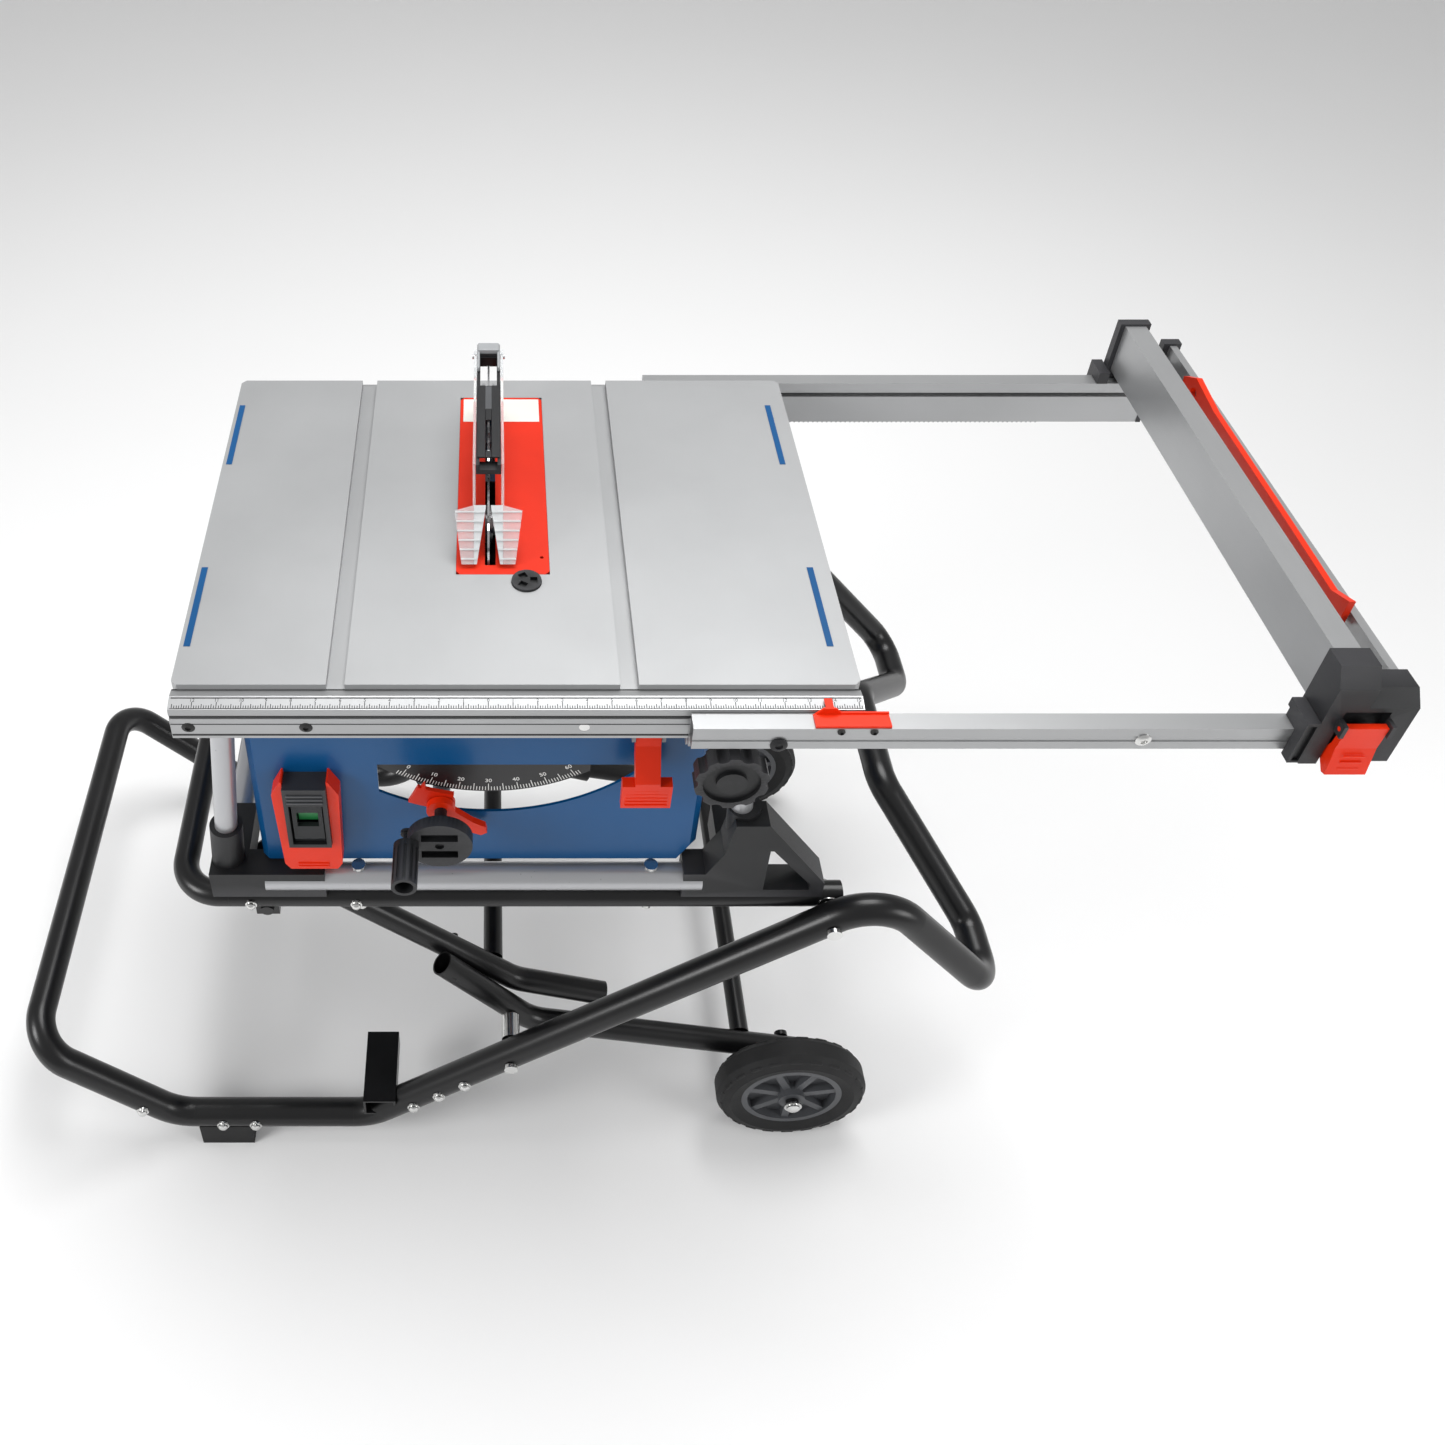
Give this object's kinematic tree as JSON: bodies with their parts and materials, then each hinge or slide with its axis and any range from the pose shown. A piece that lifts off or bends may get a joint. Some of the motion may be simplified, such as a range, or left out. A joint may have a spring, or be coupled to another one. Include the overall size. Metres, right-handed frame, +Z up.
{
  "type": "table saw",
  "caption": "Jobsite table saw with rack-and-pinion fence rails, blade guard and a folding wheeled stand.",
  "frame": {"origin": "centre of the box round the part, on the floor", "axes": "+X to the right along the fence rails, +Y from the operator to the rear, +Z up"},
  "size_m": [1.5246, 0.692, 0.994],
  "materials": {
    "table_top": "satin",
    "throat_plate": "gloss",
    "insert_knob": "matte",
    "edge_strips": "gloss",
    "fixed_rails": "satin",
    "table_brackets": "painted",
    "housing": "gloss",
    "bevel_scale": "gloss",
    "switch_housing": "matte",
    "switch_bezel": "gloss",
    "switch_paddle": "gloss",
    "start_button": "gloss",
    "dust_port": "matte",
    "cord_gland": "matte",
    "base_tubes": "polished",
    "corner_mouldings": "matte",
    "fasteners": "polished",
    "deck_rails": "gloss",
    "deck_loop": "gloss",
    "rail_lock_lever": "gloss",
    "tilt_frame": "gloss",
    "guide_posts": "polished",
    "bevel_pointer": "gloss",
    "bevel_lock_lever": "gloss",
    "crank_wheel": "matte",
    "crank_handle": "matte",
    "lead_screw": "brushed",
    "motor_bracket": "satin",
    "motor_housing": "matte",
    "stator": "satin",
    "riving_knife": "brushed",
    "guard_arm": "gloss",
    "dust_shroud": "matte",
    "arbor": "brushed",
    "blade": "brushed",
    "armature": "brushed",
    "guard_pin": "brushed",
    "guard_left": "clear",
    "guard_right": "clear",
    "kickback_pawls": "brushed",
    "slide_rails": "satin",
    "rail_ends": "matte",
    "fence_bars": "satin",
    "fence_ends": "matte",
    "push_stick": "gloss",
    "fence_latch": "gloss",
    "rail_pointer": "gloss",
    "pinion_shaft": "brushed",
    "adjust_knob": "matte",
    "side_tubes": "gloss",
    "left_loop": "gloss",
    "right_loop": "gloss",
    "foot_pads": "matte",
    "stand_bolts": "polished",
    "wheel_frame": "gloss",
    "brace_frame": "gloss",
    "tyre_front": "matte",
    "hub_front": "matte",
    "tyre_rear": "matte",
    "hub_rear": "matte"
  },
  "bodies": {
    "saw": {"table_top": "table_top", "throat_plate": "throat_plate", "edge_strips": "edge_strips", "fixed_rails": "fixed_rails", "table_brackets": "table_brackets", "housing": "housing", "bevel_scale": "bevel_scale", "switch_housing": "switch_housing", "switch_bezel": "switch_bezel", "dust_port": "dust_port", "cord_gland": "cord_gland", "base_tubes": "base_tubes", "corner_mouldings": "corner_mouldings", "fasteners": "fasteners", "deck_rails": "deck_rails", "deck_loop": "deck_loop"},
    "insert_knob": {"insert_knob": "insert_knob"},
    "switch_paddle": {"switch_paddle": "switch_paddle"},
    "start_button": {"start_button": "start_button"},
    "rail_lock": {"rail_lock_lever": "rail_lock_lever"},
    "tilt": {"tilt_frame": "tilt_frame", "guide_posts": "guide_posts", "bevel_pointer": "bevel_pointer"},
    "bevel_lock": {"bevel_lock_lever": "bevel_lock_lever"},
    "crank": {"crank_wheel": "crank_wheel"},
    "crank_grip": {"crank_handle": "crank_handle"},
    "screw": {"lead_screw": "lead_screw"},
    "lift": {"motor_bracket": "motor_bracket", "motor_housing": "motor_housing", "stator": "stator", "riving_knife": "riving_knife", "guard_arm": "guard_arm", "dust_shroud": "dust_shroud"},
    "arbor": {"arbor": "arbor", "blade": "blade"},
    "armature": {"armature": "armature"},
    "guard_pin": {"guard_pin": "guard_pin"},
    "guard_left": {"guard_left": "guard_left"},
    "guard_right": {"guard_right": "guard_right"},
    "pawls": {"kickback_pawls": "kickback_pawls"},
    "rails": {"slide_rails": "slide_rails", "rail_ends": "rail_ends", "fence_bars": "fence_bars", "fence_ends": "fence_ends", "push_stick": "push_stick", "rail_pointer": "rail_pointer"},
    "fence_latch": {"fence_latch": "fence_latch"},
    "pinion": {"pinion_shaft": "pinion_shaft", "adjust_knob": "adjust_knob"},
    "side_frame": {"side_tubes": "side_tubes", "left_loop": "left_loop", "right_loop": "right_loop", "foot_pads": "foot_pads", "stand_bolts": "stand_bolts"},
    "wheel_frame": {"wheel_frame": "wheel_frame"},
    "brace_frame": {"brace_frame": "brace_frame"},
    "wheel_front": {"tyre_front": "tyre_front", "hub_front": "hub_front"},
    "wheel_rear": {"tyre_rear": "tyre_rear", "hub_rear": "hub_rear"}
  },
  "joints": [
    {"name": "bevel", "type": "hinge", "parent": "saw", "child": "tilt", "pos_m": [-0.1437, 0.026, 0.894], "axis": [0, -1, 0], "range_deg": [0, 47]},
    {"name": "blade_height", "type": "slide", "parent": "tilt", "child": "lift", "axis": [0, 0, 1], "range_m": [-0.065, 0]},
    {"name": "rail_slide", "type": "slide", "parent": "saw", "child": "rails", "axis": [1, 0, 0], "range_m": [-0.48, 0]},
    {"name": "stand_fold", "type": "hinge", "parent": "saw", "child": "side_frame", "pos_m": [0.2593, 0.026, 0.5202], "axis": [0, 1, 0], "range_deg": [0, 31]},
    {"name": "arbor_spin", "type": "hinge", "parent": "lift", "child": "arbor", "pos_m": [-0.1437, 0.061, 0.846], "axis": [1, 0, 0], "continuous": true},
    {"name": "armature_spin", "type": "hinge", "parent": "lift", "child": "armature", "pos_m": [-0.2437, 0.092, 0.82975], "axis": [1, 0, 0], "continuous": true},
    {"name": "crank_turn", "type": "hinge", "parent": "tilt", "child": "crank", "pos_m": [-0.19678, -0.278, 0.68875], "axis": [0, 1, 0], "range_deg": [-2930, 5]},
    {"name": "screw_turn", "type": "hinge", "parent": "tilt", "child": "screw", "pos_m": [-0.2017, -0.071, 0.7], "axis": [0, 0, 1], "range_deg": [-2930, 5]},
    {"name": "grip_spin", "type": "hinge", "parent": "crank", "child": "crank_grip", "pos_m": [-0.23278, -0.324, 0.69075], "axis": [0, 1, 0], "continuous": true},
    {"name": "bevel_lock_turn", "type": "hinge", "parent": "tilt", "child": "bevel_lock", "pos_m": [-0.19678, -0.241, 0.68875], "axis": [0, 1, 0], "range_deg": [-25, 25]},
    {"name": "guard_clear", "type": "hinge", "parent": "lift", "child": "guard_pin", "pos_m": [-0.1437, 0.216, 0.985], "axis": [-1, 0, 0], "range_deg": [0, 15.2]},
    {"name": "left_guard_lift", "type": "hinge", "parent": "guard_pin", "child": "guard_left", "pos_m": [-0.1597, 0.216, 0.985], "axis": [-1, 0, 0], "range_deg": [0, 21.2]},
    {"name": "right_guard_lift", "type": "hinge", "parent": "lift", "child": "guard_right", "pos_m": [-0.1277, 0.216, 0.985], "axis": [-1, 0, 0], "range_deg": [0, 21.2]},
    {"name": "pawl_swing", "type": "hinge", "parent": "lift", "child": "pawls", "pos_m": [-0.1437, 0.156, 0.98], "axis": [1, 0, 0], "range_deg": [0, 78.5]},
    {"name": "pinion_turn", "type": "hinge", "parent": "saw", "child": "pinion", "pos_m": [0.1073, 0.026, 0.802], "axis": [0, 1, 0], "range_deg": [-1535, 2]},
    {"name": "latch_swing", "type": "hinge", "parent": "rails", "child": "fence_latch", "pos_m": [0.7083, -0.308, 0.9], "axis": [-1, 0, 0], "range_deg": [0, 40]},
    {"name": "insert_turn", "type": "hinge", "parent": "saw", "child": "insert_knob", "pos_m": [-0.1017, -0.091, 0.894], "axis": [0, 0, 1], "range_deg": [0, 180]},
    {"name": "paddle_swing", "type": "hinge", "parent": "saw", "child": "switch_paddle", "pos_m": [-0.3447, -0.248, 0.704], "axis": [-1, 0, 0], "range_deg": [0, 60]},
    {"name": "start_press", "type": "slide", "parent": "saw", "child": "start_button", "axis": [0, 1, 0], "range_m": [0, 0.006], "stiffness_N_per_m": 400},
    {"name": "rail_lock_swing", "type": "hinge", "parent": "saw", "child": "rail_lock", "pos_m": [0.0263, -0.236, 0.81], "axis": [-1, 0, 0], "range_deg": [0, 50]},
    {"name": "leg_swing", "type": "hinge", "parent": "side_frame", "child": "wheel_frame", "pos_m": [-0.11426, 0.026, 0.21119], "axis": [0, 1, 0], "range_deg": [-37, 1]},
    {"name": "brace_swing", "type": "hinge", "parent": "saw", "child": "brace_frame", "pos_m": [-0.4103, 0.026, 0.4942], "axis": [0, 1, 0], "range_deg": [-28, 1]},
    {"name": "front_wheel_spin", "type": "hinge", "parent": "wheel_frame", "child": "wheel_front", "pos_m": [0.2703, -0.258, 0.1015], "axis": [0, 1, 0], "continuous": true},
    {"name": "rear_wheel_spin", "type": "hinge", "parent": "wheel_frame", "child": "wheel_rear", "pos_m": [0.2703, 0.31, 0.1015], "axis": [0, 1, 0], "continuous": true}
  ],
  "couplings": [
    {"joint": "armature_spin", "follows": "arbor_spin", "ratio": -4},
    {"joint": "crank_turn", "follows": "blade_height", "rad_per_m": 785.4},
    {"joint": "screw_turn", "follows": "blade_height", "rad_per_m": 785.4},
    {"joint": "guard_clear", "follows": "bevel", "ratio": 0.319},
    {"joint": "left_guard_lift", "follows": "blade_height", "rad_per_m": -5.64},
    {"joint": "right_guard_lift", "follows": "blade_height", "rad_per_m": -5.64},
    {"joint": "pawl_swing", "follows": "blade_height", "rad_per_m": -20.94},
    {"joint": "pinion_turn", "follows": "rail_slide", "rad_per_m": 55.556},
    {"joint": "leg_swing", "follows": "stand_fold", "ratio": -1.177},
    {"joint": "brace_swing", "follows": "stand_fold", "ratio": -0.871}
  ]
}
